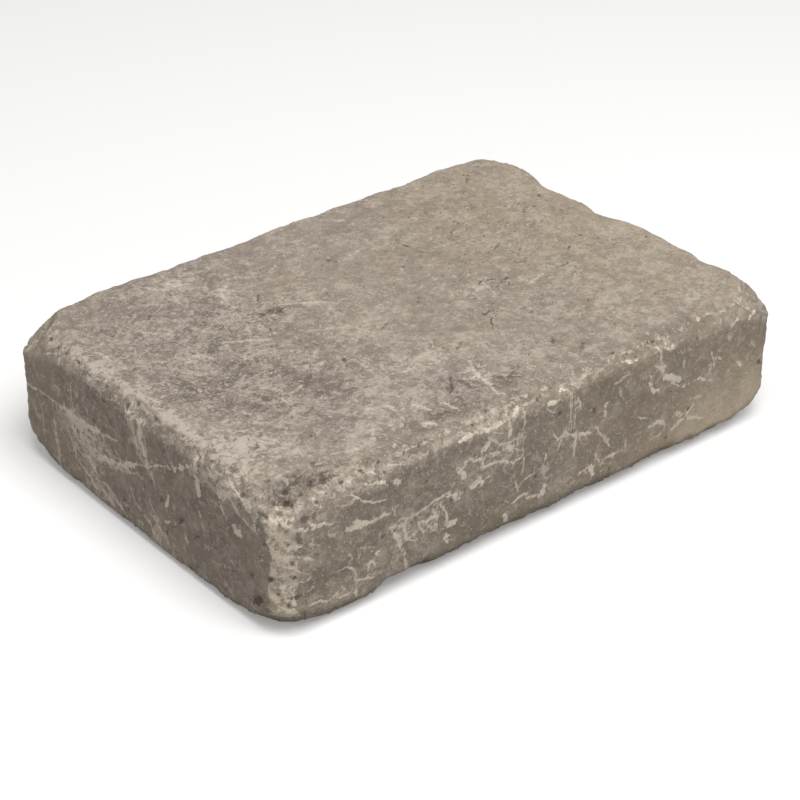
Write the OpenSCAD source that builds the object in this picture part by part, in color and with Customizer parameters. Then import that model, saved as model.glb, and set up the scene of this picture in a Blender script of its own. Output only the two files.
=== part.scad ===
// Tumbled concrete wall block: one cast piece of dry-stack garden walling.
// It is pressed as a sharp rectangular block and then tumbled in a drum. That wears every edge
// to an uneven round, takes more off the corners and breaks spalls out of the edges.
// The frame has +X along the length, +Y along the depth and +Z up, with the origin at the
// middle of the bottom bed face. The front side looks along -Y.

/* [Block] */
// Length of the long sides
block_length = 330; // [260:5:400]
// Depth, from the front side to the back side
block_depth = 230; // [180:2:280]
// Height of one course
block_height = 75; // [64:1:100]

/* [Tumbling wear] */
// Radius worn onto the most worn edges of the top bed face
top_edge_radius = 15; // [8:0.5:18]
// Radius worn onto the edges of the bottom bed face
bottom_edge_radius = 3.5; // [3:0.5:12]
// Radius worn onto the most worn upright edges
upright_radius = 21; // [12:1:26]
// How much more the wear takes off at each corner of the block
corner_wear = 3.2; // [0:0.2:4]
// How far from a corner that extra wear reaches
corner_reach = 22; // [15:1:40]
// How far the worn radius wanders along an edge
wander = 2.4; // [0:0.2:3]
// Depth of the crumbled relief on the worn edges
crumble = 1.4; // [0:0.1:2]

/* [Resolution] */
// Spacing of the outline's points along the straight part of a side
outline_step = 6; // [4:1:12]
// Number of steps over a worn edge, and around a quarter turn of the outline
arc_steps = 6; // [4:1:8]
// Number of steps up the sides, between the worn edges
side_rings = 6; // [3:1:8]

/* [Hidden] */

half_length = block_length / 2;
half_depth = block_depth / 2;
concrete = "#9d9385";
// How far the worn rounds run past the planes of the bed faces before those cut them off.
bed_cut = 0.25;
// No stretch of edge stays sharper than this radius.
least_radius = 3;

// The sides run anticlockwise from the left end of the front, and each ends at a corner.
front = 0;
right = 1;
back = 2;
left = 3;
sides = [front, right, back, left];
outward = [[0, -1], [1, 0], [0, 1], [-1, 0]];
along = [[1, 0], [0, 1], [-1, 0], [0, -1]];
side_lengths = [block_length, block_depth, block_length, block_depth];
side_starts = [
    [-half_length, -half_depth],
    [half_length, -half_depth],
    [half_length, half_depth],
    [-half_length, half_depth]
];
function side_before(side) = (side + 3) % 4;
function side_after(side) = (side + 1) % 4;

// The drum doesn't wear every edge alike. The shares say how much of the top edges' radius each
// side has, and how much of the upright edges' radius the corner at each side's end has.
top_shares = [0.52, 1, 1, 0.48];
upright_shares = [0.9, 1, 1, 0.72];
function upright_at(side) = upright_radius * upright_shares[side];

// Stretches of edge that are worn rounder than the rest: side, share of the way along it, how
// far the stretch reaches to either side of its middle, and the radius that it adds.
top_stretches = [
    [right, 0.56, 22, 10],
    [right, 0.69, 24, 9],
    [left, 0.12, 26, 4],
    [left, 0.92, 22, 3],
    [front, 0.08, 40, 5]
];
bottom_stretches = [
    [front, 0.50, 150, 9],
    [right, 0.80, 40, 5],
    [back, 0.25, 45, 4],
    [left, 0.12, 24, 4]
];

// Spalls broken out of the edges: side, share of the way along it, radius of the scoop and how
// deep it bites into the worn edge.
top_spalls = [
    [right, 0.21, 22, 5.0],
    [right, 0.55, 30, 2.6],
    [right, 0.73, 34, 3.4],
    [left, 0.27, 18, 1.6],
    [left, 0.50, 40, 1.6],
    [back, 0.69, 26, 1.6],
    [back, 0.20, 50, 1.8],
    [front, 0.52, 24, 1.0]
];
bottom_spalls = [
    [front, 0.14, 50, 1.4],
    [front, 0.20, 12, 6.0],
    [front, 0.25, 42, 3.8],
    [front, 0.86, 60, 2.2],
    [right, 0.40, 45, 2.6],
    [back, 0.55, 60, 2.8],
    [left, 0.66, 30, 0.8]
];

// Spalls at the corners: the side that ends there, 1 for the top or -1 for the bottom, radius
// of the scoop and how deep it bites.
corner_spalls = [
    [back, 1, 38, 4.4],
    [left, 1, 52, 1.0],
    [front, 1, 50, 2.6],
    [right, -1, 34, 2.4]
];

function fade(distance, reach) = exp(-pow(distance / reach, 2));
function unit(v) = v / norm(v);

// A station is a point of the plan outline: [side, distance along the side, point, outward
// direction, largest worn radius that fits there, share of the way round to the next side].
// Those of a corner's arc belong to the side that ends there.
function straight_station(side, distance) = [
    side,
    distance,
    side_starts[side] + along[side] * distance,
    outward[side],
    0.48 * block_height,
    0
];
function corner_station(side, angle) =
    let (
        radius = upright_at(side),
        distance = side_lengths[side] - radius,
        middle = side_starts[side] + along[side] * distance - outward[side] * radius,
        direction = outward[side] * cos(angle) + along[side] * sin(angle)
    )
    [
        side,
        distance + radius * sin(angle),
        middle + direction * radius,
        direction,
        0.95 * radius,
        angle / 90
    ];

function side_stations(side) =
    let (
        start = upright_at(side_before(side)),
        run = side_lengths[side] - start - upright_at(side),
        count = round(run / outline_step)
    )
    concat(
        [for (i = [0:count - 1]) straight_station(side, start + run * i / count)],
        [for (i = [0:arc_steps - 1]) corner_station(side, 90 * i / arc_steps)]
    );
stations = [for (side = sides) each side_stations(side)];

// How near a station is to the closest corner, from 0 far from it to 1 on its diagonal.
corner_middles = [for (side = sides) corner_station(side, 45)];
function corner_share(station) =
    max([for (corner = corner_middles) fade(norm(station[2] - corner[2]), corner_reach)]);

// Three waves of unrelated lengths make the wear wander without a visible repeat.
function wandering(station, phase) =
    let (run = station[1] + 97 * station[0] + phase)
    wander * (0.5 * sin(run * 2.9) + 0.3 * sin(run * 6.7 + 40) + 0.2 * sin(run * 13.1 + 110));

function stretch_wear(station, stretches) =
    max(concat([0], [
        for (s = stretches) if (s[0] == station[0])
            s[3] * fade(station[1] - s[1] * side_lengths[s[0]], s[2])
    ]));

function nearest_corner(station) =
    2 * station[1] > side_lengths[station[0]] ? station[0] : side_before(station[0]);

// The worn radius at a station. It nears the upright edge's own radius on the way to a corner.
function edge_radius(station, radius, stretches, phase) =
    let (
        share = corner_share(station),
        wear = wandering(station, phase) + stretch_wear(station, stretches),
        worn = max(radius + wear, least_radius)
    )
    min(worn * (1 - share) + 0.9 * upright_at(nearest_corner(station)) * share, station[4]);
function top_share(station) =
    top_shares[station[0]] * (1 - station[5]) + top_shares[side_after(station[0])] * station[5];
function top_radius(station) =
    edge_radius(station, top_edge_radius * top_share(station), top_stretches, 0);
function bottom_radius(station) = edge_radius(station, bottom_edge_radius, bottom_stretches, 31);

// How much further the middle of the round is pulled in, close to a corner of the block.
function corner_pull(station) = corner_wear * pow(corner_share(station), 2);

// How deep the surface has crumbled at a point: scattered from point to point, without a pattern.
function crumbled(number, angle) =
    let (scatter = 437.585 * sin(127.1 * number + 31.7 * angle))
    crumble * (scatter - floor(scatter));

// A point of the worn round at one station: angle 0 lies on the side and 90 on the bed face.
function round_point(station, number, radius, edge_z, up, angle) =
    let (
        inset = radius * (1 - cos(angle)),
        drop = radius * (1 - sin(angle)),
        pull = (corner_pull(station) + crumbled(number, up * angle)) * sin(2 * angle),
        plan = station[2] - station[3] * (inset + pull * cos(angle))
    )
    [plan[0], plan[1], edge_z - up * (drop + pull * sin(angle))];

bottom_radii = [for (s = stations) bottom_radius(s)];
top_radii = [for (s = stations) top_radius(s)];
function round_ring(radii, edge_z, up, angle) =
    [for (i = [0:len(stations) - 1]) round_point(stations[i], i, radii[i], edge_z, up, angle)];

// A ring on the sides, a share of the way up from the bottom round to the top one. It is flat
// along the sides and crumbled on the upright edges.
function side_ring(share) = [
    for (i = [0:len(stations) - 1])
        let (
            low = bottom_radii[i],
            high = block_height - top_radii[i],
            upright = abs(stations[i][3][0] * stations[i][3][1]) * 2,
            plan = stations[i][2] - stations[i][3] * upright * crumbled(i, 360 * share)
        )
        [plan[0], plan[1], low + (high - low) * share]
];

// Rings of the loft, from the rim of its bottom up to the rim of its top.
rings = concat(
    [for (i = [arc_steps:-1:0]) round_ring(bottom_radii, -bed_cut, -1, 90 * i / arc_steps)],
    [for (i = [1:side_rings - 1]) side_ring(i / side_rings)],
    [for (i = [0:arc_steps]) round_ring(top_radii, block_height + bed_cut, 1, 90 * i / arc_steps)]
);

// Skins the rings into a closed solid, with a fan of faces closing each end.
module loft(rings, bottom_middle, top_middle) {
    count = len(rings[0]);
    last = len(rings) - 1;
    points = concat([for (ring = rings) each ring], [bottom_middle, top_middle]);
    low = len(points) - 2;
    high = len(points) - 1;
    skin = [
        for (k = [0:last - 1]) for (i = [0:count - 1]) let (j = (i + 1) % count)
            each [
                [k * count + i, (k + 1) * count + i, (k + 1) * count + j],
                [k * count + i, (k + 1) * count + j, k * count + j]
            ]
    ];
    caps = [
        for (i = [0:count - 1]) let (j = (i + 1) % count)
            each [[low, i, j], [high, last * count + j, last * count + i]]
    ];
    polyhedron(points, concat(skin, caps));
}

// Everything between the planes of the two bed faces, which cut the loft off flat.
module between_beds() {
    translate([-block_length, -block_depth, 0])
        cube([2 * block_length, 2 * block_depth, block_height]);
}

// The scoop of one spall: a ball that bites into the middle of the worn round, at the top
// edge where up is 1 and at the bottom edge where it is -1.
module spall(station, up, scoop_radius, bite) {
    radius = up > 0 ? top_radius(station) : bottom_radius(station);
    sharp_to_worn = radius * (sqrt(2) - 1) + corner_pull(station);
    diagonal = unit([station[3][0], station[3][1], up]);
    translate([station[2][0], station[2][1], up > 0 ? block_height : 0])
        translate(diagonal * (scoop_radius - bite - sharp_to_worn))
            sphere(r = scoop_radius, $fn = 64);
}

module wall_block() {
    color(concrete)
        difference() {
            intersection() {
                loft(rings, [0, 0, -bed_cut], [0, 0, block_height + bed_cut]);
                between_beds();
            }
            for (s = top_spalls)
                spall(straight_station(s[0], s[1] * side_lengths[s[0]]), 1, s[2], s[3]);
            for (s = bottom_spalls)
                spall(straight_station(s[0], s[1] * side_lengths[s[0]]), -1, s[2], s[3]);
            for (s = corner_spalls)
                spall(corner_middles[s[0]], s[1], s[2], s[3]);
        }
}

wall_block();
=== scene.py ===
"""Looks of the tumbled concrete wall block.

One dense piece stands for the CAD block. It starts as a fine box grid that is laid onto the CAD
surface, and then gets the relief that is too fine for the CAD: a crumbly worn edge, chips and pits.
Marks on its faces, such as scuffs and cracks, are kept as vertex attributes, and one procedural
concrete reads them.

Lengths here are millimetres, apart from those that say metres. The scene itself is in metres.
"""

import math

import bpy
import numpy as np
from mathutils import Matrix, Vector
from mathutils.bvhtree import BVHTree


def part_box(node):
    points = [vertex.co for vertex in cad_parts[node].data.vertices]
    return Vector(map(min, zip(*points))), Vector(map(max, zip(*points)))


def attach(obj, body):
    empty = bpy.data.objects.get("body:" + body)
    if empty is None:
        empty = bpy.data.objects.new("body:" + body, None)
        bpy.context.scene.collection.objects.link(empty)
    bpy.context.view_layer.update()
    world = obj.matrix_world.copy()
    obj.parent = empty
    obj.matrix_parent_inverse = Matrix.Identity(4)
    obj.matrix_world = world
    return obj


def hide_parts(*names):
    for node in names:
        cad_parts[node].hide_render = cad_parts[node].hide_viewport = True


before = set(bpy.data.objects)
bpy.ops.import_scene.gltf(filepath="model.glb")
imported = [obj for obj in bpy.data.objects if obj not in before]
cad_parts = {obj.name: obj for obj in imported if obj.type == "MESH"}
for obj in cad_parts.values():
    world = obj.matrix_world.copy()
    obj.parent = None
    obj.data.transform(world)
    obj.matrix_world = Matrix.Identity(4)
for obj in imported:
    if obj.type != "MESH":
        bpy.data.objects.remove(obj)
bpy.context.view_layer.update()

MM = 0.001
low, high = (np.array(corner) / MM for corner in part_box("wall_block"))
SIZE = high - low
MIDDLE = (low + high) / 2
RNG = np.random.default_rng(20)


# --- Noise ---
OCTAVE_SHIFT = 17.3     # keeps the cells of two octaves from lining up


def lattice_values(cells, seed):
    """A repeatable random number from -1 to 1 for each whole-numbered cell."""
    x, y, z = (cells[..., axis].astype(np.int64) for axis in range(3))
    mixed = (x * 73856093) ^ (y * 19349663) ^ (z * 83492791) ^ (seed * 2654435761)
    mixed = (mixed ^ (mixed >> 13)) * 1274126177
    mixed = mixed ^ (mixed >> 16)
    return (mixed & 0xFFFFFF) / float(0x7FFFFF) - 1.0


def smooth_noise(points, seed):
    """Value noise from about -1 to 1, one unit from cell to cell."""
    cells = np.floor(points)
    share = points - cells
    share = share * share * share * (share * (share * 6 - 15) + 10)
    total = np.zeros(len(points))
    for corner in range(8):
        step = np.array([corner & 1, corner >> 1 & 1, corner >> 2 & 1])
        weight = np.prod(np.where(step, share, 1 - share), axis=1)
        total += weight * lattice_values(cells + step, seed)
    return total


def fractal(points, size, seed, octaves=4, gain=0.5):
    """Layered noise whose largest features are about size millimetres across."""
    total = np.zeros(len(points))
    amplitude = 1.0
    whole = 0.0
    for octave in range(octaves):
        place = points * 2 ** octave / size + OCTAVE_SHIFT * octave
        total += amplitude * smooth_noise(place, seed + octave)
        whole += amplitude
        amplitude *= gain
    return total / whole


def smoothstep(value, start, end):
    """Goes smoothly from 0 where the value is start to 1 where it is end."""
    share = np.clip((value - start) / (end - start), 0, 1)
    return share * share * (3 - 2 * share)


# --- The grid, laid onto the CAD surface ---
GRID_PITCH = 1.56       # spacing of the box grid's points
CORE_INSET = 24.0       # how deep the core lies that the grid's points are drawn towards
RAY_LEAD = 3            # how far outside the grid the rays towards the core start


def box_grid():
    """Points and quads of a closed box grid. The points are shared along the box's edges."""
    count = np.round(SIZE / GRID_PITCH).astype(int)
    number = np.full(count + 1, -1)
    border = np.ones(count + 1, bool)
    border[1:-1, 1:-1, 1:-1] = False
    number[border] = np.arange(border.sum())
    points = low + SIZE * np.argwhere(border) / count
    quads = []
    for axis in range(3):
        for end, outwards in ((0, False), (count[axis], True)):
            sheet = np.take(number, end, axis=axis)
            corners = [sheet[:-1, :-1], sheet[1:, :-1], sheet[1:, 1:], sheet[:-1, 1:]]
            if outwards == (axis == 1):
                corners.reverse()
            quads.append(np.stack(corners, -1).reshape(-1, 4))
    return points, np.concatenate(quads)


def laid_on_cad(points):
    """Each point moved onto the CAD surface, along the line to the nearest point of a core box."""
    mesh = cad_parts["wall_block"].data
    surface = BVHTree.FromPolygons(
        [v.co.copy() for v in mesh.vertices], [tuple(p.vertices) for p in mesh.polygons])
    core = np.clip(points, low + CORE_INSET, high - CORE_INSET)
    inwards = core - points
    inwards /= np.linalg.norm(inwards, axis=1, keepdims=True)
    starts = (points - RAY_LEAD * inwards) * MM
    laid = points.copy()
    for i in range(len(points)):
        hit = surface.ray_cast(Vector(starts[i]), Vector(inwards[i]))[0]
        if hit is not None:
            laid[i] = np.array(hit) / MM
    return laid


def edges_of(quads):
    """Each edge of the grid once, as the numbers of its two points."""
    pairs = np.concatenate([quads[:, [i, (i + 1) % 4]] for i in range(4)])
    return np.unique(np.sort(pairs, axis=1), axis=0)


def smoothed(values, edges, rounds, share=0.5):
    """Values at the points, or the points themselves, evened out along the grid's edges."""
    values = np.array(values, float)
    flat = values.reshape(len(values), -1)
    near = np.bincount(edges.ravel(), minlength=len(values))[:, None]
    for _ in range(rounds):
        total = np.zeros_like(flat)
        for column in range(flat.shape[1]):
            total[:, column] = np.bincount(
                edges.ravel(), flat[edges[:, ::-1].ravel(), column], minlength=len(values))
        flat = flat + share * (total / near - flat)
    return flat.reshape(values.shape)


def normals_of(points, quads):
    """The outward direction at each point, averaged over the quads that meet there."""
    across = points[quads[:, 2]] - points[quads[:, 0]]
    along = points[quads[:, 3]] - points[quads[:, 1]]
    faces = np.cross(across, along)
    total = np.zeros_like(points)
    for corner in range(4):
        for axis in range(3):
            total[:, axis] += np.bincount(quads[:, corner], faces[:, axis], minlength=len(points))
    return total / np.linalg.norm(total, axis=1, keepdims=True)


# --- Marks listed one by one on the faces that show ---
# Each face is measured from its upper left corner as it is looked at, in millimetres: u to the
# right and v down. The top is looked at from above with the front at the bottom. For each face:
# that corner as shares of the box, the direction of u and the direction of v.
FACES = {
    "top": ((0, 1, 1), (1, 0, 0), (0, -1, 0)),
    "front": ((0, 0, 1), (1, 0, 0), (0, 0, -1)),
    "left": ((0, 1, 1), (0, -1, 0), (0, 0, -1)),
    "right": ((1, 0, 1), (0, 1, 0), (0, 0, -1)),
    "back": ((1, 1, 1), (-1, 0, 0), (0, 0, -1)),
    "bottom": ((0, 0, 0), (1, 0, 0), (0, 1, 0)),
}

# Scuffs that other blocks left in the tumbler: half width, strength, then the points each passes.
STROKES = {"front": [
    (0.6, 0.9, (42, 9), (47, 14), (53, 18), (60, 20)), (1.1, 0.8, (50, 5), (55, 8), (60, 10)),
    (1.3, 1.0, (64, 12), (68, 13), (71, 14)), (0.9, 0.7, (66, 2), (69, 4), (72, 5)),
    (0.5, 0.6, (35, 12), (41, 13)), (2.3, 1.0, (38, 27), (44, 26), (50, 28)),
    (0.8, 0.8, (50, 28), (56, 28), (62, 29)), (1.1, 0.7, (66, 27), (67, 30)),
    (1.5, 0.9, (12, 16), (20, 17), (25, 18)), (0.6, 0.8, (23, 17), (29, 20)),
    (1.2, 0.9, (9, 23), (12, 25)), (1.0, 0.8, (15, 32), (18, 34)), (0.6, 0.6, (18, 26), (22, 28)),
    (0.7, 0.6, (29, 25), (31, 27)), (0.6, 0.7, (11, 45), (16, 44)), (0.6, 0.6, (11, 39), (16, 41)),
    (0.6, 0.8, (34, 47), (39, 47), (41, 49), (43, 53)), (0.7, 0.5, (40, 41), (41, 43)),
    (1.3, 0.7, (53, 45), (59, 49)), (0.6, 0.4, (48, 41), (55, 43)),
    (0.8, 0.9, (51, 56), (51, 51), (54, 51), (55, 53)), (0.8, 0.8, (44, 57), (49, 58), (53, 59)),
    (0.7, 0.6, (35, 57), (37, 59)), (0.7, 0.8, (17, 59), (22, 59), (26, 61), (32, 59)),
    (1.0, 0.8, (33, 62), (38, 62)), (0.8, 0.7, (43, 61), (43, 64)), (0.8, 0.7, (73, 59), (74, 65)),
    (0.8, 0.7, (64, 37), (69, 38), (72, 41)), (1.2, 0.9, (66, 40), (69, 45), (71, 51), (73, 55)),
    (1.0, 0.8, (73, 39), (74, 46), (78, 50)), (1.3, 0.8, (76, 43), (80, 48)),
    (0.7, 0.7, (71, 35), (76, 36), (81, 35)), (0.9, 0.9, (81, 35), (87, 34), (93, 33), (98, 32)),
    (1.1, 0.9, (97, 33), (102, 35), (106, 38)), (1.3, 0.8, (81, 41), (86, 42), (91, 41)),
    (0.9, 0.7, (82, 43), (84, 48)), (0.8, 0.8, (90, 38), (92, 42), (92, 47)),
    (1.0, 0.9, (95, 37), (98, 42), (100, 47)), (2.4, 1.0, (100, 49), (104, 50)),
    (1.2, 0.9, (95, 54), (98, 56), (102, 57)), (1.1, 0.8, (96, 58), (101, 59), (102, 62)),
    (0.8, 0.6, (88, 46), (90, 49), (93, 51)), (1.6, 1.0, (105, 21), (108, 25), (111, 29)),
    (1.0, 0.9, (108, 23), (110, 19), (115, 19)), (0.8, 0.9, (115, 21), (121, 22), (122, 27)),
    (1.8, 1.0, (120, 18), (124, 14)), (0.7, 0.8, (124, 12), (128, 15), (133, 18), (138, 19)),
    (0.6, 0.7, (127, 10), (132, 12)), (1.2, 1.0, (137, 1), (137, 10), (137, 17)),
    (1.5, 1.0, (145, 0), (142, 4), (140, 7)), (1.4, 0.8, (105, 6), (115, 5), (125, 7), (134, 6)),
    (0.9, 1.0, (122, 27), (128, 26), (133, 28), (137, 30), (145, 31)),
    (1.1, 0.9, (123, 20), (130, 22), (136, 21), (142, 22)), (1.8, 0.8, (138, 22), (141, 25)),
    (0.8, 0.7, (137, 19), (142, 19), (147, 20)), (0.6, 0.6, (147, 4), (146, 14), (147, 26), (147, 40)),
    (1.8, 0.9, (114, 35), (119, 33), (121, 35)), (0.8, 0.7, (122, 34), (125, 33)),
    (1.1, 0.8, (108, 35), (110, 39)), (0.9, 0.6, (143, 44), (144, 48)), (0.9, 0.6, (148, 45), (154, 44)),
    (1.2, 1.0, (161, 34), (162, 37)), (0.9, 0.9, (140, 55), (144, 54), (149, 54)),
    (0.7, 0.6, (136, 52), (140, 54)), (1.0, 0.9, (150, 57), (156, 57)),
    (1.4, 0.8, (157, 57), (161, 58), (162, 54)), (1.6, 0.7, (135, 60), (138, 65)),
    (1.3, 1.0, (163, 7), (169, 7)), (0.5, 0.6, (163, 10), (166, 13)), (1.6, 1.0, (172, 2), (177, 3)),
    (1.2, 0.9, (179, 1), (184, 2)), (0.5, 0.6, (177, 5), (177, 15), (177, 26)),
    (0.5, 0.6, (180, 8), (180, 18), (181, 27)), (0.6, 0.8, (181, 10), (183, 14), (184, 18)),
    (0.8, 0.9, (167, 27), (169, 30), (173, 29), (174, 27)), (0.7, 0.8, (173, 29), (171, 32), (170, 35)),
    (1.0, 1.0, (174, 28), (179, 31), (184, 33), (191, 35)), (1.0, 0.9, (183, 32), (182, 38), (181, 43)),
    (1.1, 0.8, (202, 22), (202, 29)), (0.9, 0.7, (212, 20), (213, 23)),
    (0.7, 0.8, (196, 34), (200, 40), (205, 47)), (0.8, 0.7, (199, 39), (204, 43)),
    (0.9, 0.6, (207, 13), (211, 13), (216, 12)), (1.6, 1.0, (192, 53), (194, 57), (195, 61)),
    (0.9, 0.8, (187, 56), (192, 55)), (0.9, 0.7, (197, 50), (199, 54)), (1.0, 0.8, (205, 54), (211, 54)),
    (1.2, 0.8, (203, 58), (206, 59)), (0.6, 0.6, (217, 50), (217, 53)),
    (1.6, 1.0, (213, 1), (217, 3), (222, 4)), (0.9, 0.8, (235, 0), (238, 5), (239, 10)),
    (1.3, 1.0, (242, 1), (243, 6), (248, 7), (249, 2)), (0.8, 0.8, (235, 13), (238, 15), (241, 19)),
    (0.7, 0.8, (240, 13), (243, 17)), (1.2, 1.0, (232, 17), (233, 20)),
    (1.2, 0.9, (231, 22), (233, 26), (238, 28)), (2.0, 1.0, (241, 23), (246, 23), (250, 26), (254, 28)),
    (0.7, 0.8, (248, 27), (253, 31)), (1.2, 0.9, (257, 33), (261, 32)),
    (0.8, 0.9, (265, 33), (269, 33), (272, 35), (276, 36)), (1.2, 0.9, (274, 28), (277, 26), (279, 29)),
    (0.7, 0.8, (276, 21), (277, 25), (275, 31)), (0.9, 0.9, (280, 24), (283, 26)),
    (0.8, 0.9, (226, 40), (230, 42)), (0.8, 0.7, (256, 18), (256, 21)), (0.9, 0.9, (290, 9), (293, 7)),
    (1.1, 0.9, (300, 11), (304, 9), (307, 7), (311, 6)), (0.8, 0.7, (287, 15), (288, 17)),
    (1.4, 0.5, (295, 33), (299, 36)), (1.0, 0.8, (234, 48), (239, 47), (243, 50), (244, 53)),
    (1.1, 0.7, (251, 49), (256, 48)), (0.9, 0.7, (236, 56), (241, 56)),
    (0.8, 0.8, (249, 57), (256, 54), (260, 51), (264, 48)),
    (0.8, 0.8, (257, 50), (262, 54), (267, 56), (271, 58)), (1.0, 0.6, (264, 43), (268, 44)),
    (0.7, 0.5, (303, 42), (307, 44)), (0.8, 0.5, (306, 25), (308, 28)),
], "left": [
    (2.0, 0.9, (50, 31), (66, 31), (84, 30)), (0.8, 0.7, (16, 34), (30, 31), (49, 31)),
    (0.9, 0.7, (84, 30), (92, 29), (99, 27)), (2.0, 0.9, (81, 45), (88, 43), (97, 41)),
    (1.6, 0.9, (97, 41), (106, 38), (118, 32)), (0.9, 0.8, (118, 32), (123, 29)),
    (0.8, 0.9, (126, 29), (133, 25), (142, 21)), (1.2, 0.9, (142, 21), (150, 18), (157, 14), (163, 9)),
    (1.8, 0.9, (118, 7), (120, 13), (123, 20), (125, 28)), (0.9, 0.6, (107, 4), (110, 7), (112, 10)),
    (1.5, 0.8, (166, 1), (166, 11), (168, 22), (168, 29)), (0.9, 0.7, (168, 34), (170, 40)),
    (0.6, 0.6, (61, 14), (61, 22), (63, 28)), (0.9, 0.7, (55, 42), (58, 47), (61, 54)),
    (1.6, 0.8, (71, 50), (76, 53), (81, 57)), (0.8, 0.7, (62, 47), (67, 51), (73, 49)),
    (1.1, 0.9, (142, 37), (141, 41), (139, 45)), (0.9, 0.7, (127, 49), (130, 53), (133, 57)),
    (0.8, 0.7, (129, 31), (131, 35)), (0.9, 0.9, (140, 53), (142, 52)), (0.9, 0.8, (155, 52), (156, 56)),
    (0.9, 0.9, (185, 20), (187, 22)), (1.2, 0.8, (172, 9), (178, 7), (186, 10)),
    (2.2, 0.8, (184, 15), (190, 12), (195, 10)), (2.4, 0.8, (195, 26), (199, 28)),
    (0.9, 0.7, (203, 19), (208, 20), (213, 19)), (0.7, 0.6, (45, 21), (49, 22), (48, 25)),
    (0.7, 0.5, (25, 44), (28, 49)), (0.6, 0.6, (38, 5), (44, 1)), (0.9, 0.6, (47, 0), (50, 6)),
    (0.8, 0.5, (110, 50), (113, 56)), (0.7, 0.5, (141, 7), (143, 12)),
    (1.0, 0.5, (43, 42), (44, 56), (45, 68)), (1.0, 0.3, (30, 38), (31, 50), (32, 60)),
    (0.9, 0.7, (54, 34), (63, 34), (73, 33)), (0.8, 0.6, (58, 37), (69, 36), (81, 35)),
    (0.9, 0.7, (61, 39), (71, 40), (82, 42)), (0.7, 0.6, (55, 30), (60, 38), (66, 44)),
    (0.7, 0.6, (65, 30), (72, 38), (80, 45)), (0.8, 0.6, (70, 43), (79, 46), (89, 46)),
    (0.7, 0.5, (84, 38), (94, 37), (104, 36)), (0.7, 0.6, (100, 43), (108, 41), (116, 38)),
    (0.8, 0.7, (113, 6), (116, 14), (118, 24)), (0.7, 0.6, (121, 7), (125, 15), (126, 24)),
    (0.9, 0.8, (176, 5), (184, 8), (191, 7)), (0.8, 0.7, (184, 13), (193, 14), (200, 18)),
    (0.9, 0.8, (191, 4), (199, 8), (206, 12)), (0.8, 0.7, (206, 9), (210, 14), (213, 22)),
    (0.9, 0.6, (63, 57), (71, 61), (80, 66)), (0.8, 0.6, (75, 57), (84, 62), (93, 68)),
    (0.8, 0.5, (88, 58), (96, 62), (104, 67)), (0.9, 0.6, (115, 57), (125, 62), (133, 67)),
    (0.9, 0.7, (127, 56), (134, 60), (140, 66)), (0.6, 0.5, (186, 62), (192, 67), (197, 71)),
], "top": [
    (1.0, 0.6, (80, 18), (80, 28), (78, 38), (76, 47)), (1.0, 0.4, (69, 19), (73, 25), (77, 30)),
    (1.0, 0.6, (83, 26), (87, 30), (91, 34)), (0.9, 0.6, (81, 29), (86, 33), (90, 33)),
    (1.0, 0.4, (62, 38), (69, 44)), (1.0, 0.4, (85, 44), (92, 49)),
    (1.0, 0.5, (104, 46), (98, 51), (95, 58), (94, 67)), (1.0, 0.5, (15, 62), (17, 73)),
    (1.0, 0.4, (45, 61), (51, 67), (57, 73)), (1.0, 0.4, (53, 94), (54, 105)),
    (0.8, 0.3, (60, 54), (66, 66), (70, 80)), (1.0, 0.5, (112, 79), (123, 85), (134, 93)),
    (0.9, 0.5, (70, 94), (79, 99), (88, 105)), (0.8, 0.4, (110, 112), (120, 116), (130, 121)),
    (1.0, 0.6, (228, 143), (233, 141), (241, 140)), (0.8, 0.3, (220, 180), (232, 185), (244, 192)),
    (1.0, 0.7, (151, 184), (148, 193), (145, 203), (142, 214)),
    (1.0, 0.5, (85, 188), (93, 190), (94, 198), (92, 207)),
    (1.0, 0.5, (48, 208), (58, 212), (68, 211), (76, 203)),
    (0.9, 0.4, (128, 168), (137, 165), (146, 166)), (1.0, 0.5, (107, 143), (109, 151), (109, 161)),
    (0.8, 0.3, (16, 80), (19, 92), (18, 100)), (0.8, 0.3, (30, 84), (42, 96), (57, 104)),
    (0.9, 0.4, (60, 117), (70, 112), (84, 116)), (0.8, 0.3, (36, 110), (48, 114)),
    (1.0, 0.4, (84, 131), (92, 134), (100, 130)), (0.8, 0.4, (124, 109), (128, 101), (137, 97)),
    (0.7, 0.2, (160, 70), (172, 62), (186, 58)), (0.7, 0.2, (196, 92), (210, 84), (222, 82)),
    (0.7, 0.2, (282, 152), (290, 148), (300, 148)), (0.9, 0.4, (130, 166), (137, 164), (144, 166)),
    (1.0, 0.9, (116, 206), (118, 212)), (1.0, 0.9, (104, 198), (107, 205)),
    (1.0, 0.9, (98, 215), (100, 218)), (1.0, 0.8, (139, 195), (143, 197)),
    (0.9, 0.4, (60, 161), (66, 153), (74, 151)), (0.8, 0.4, (100, 174), (112, 170), (122, 172)),
    (1.0, 0.4, (58, 140), (63, 148), (60, 156)),
]}

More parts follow.
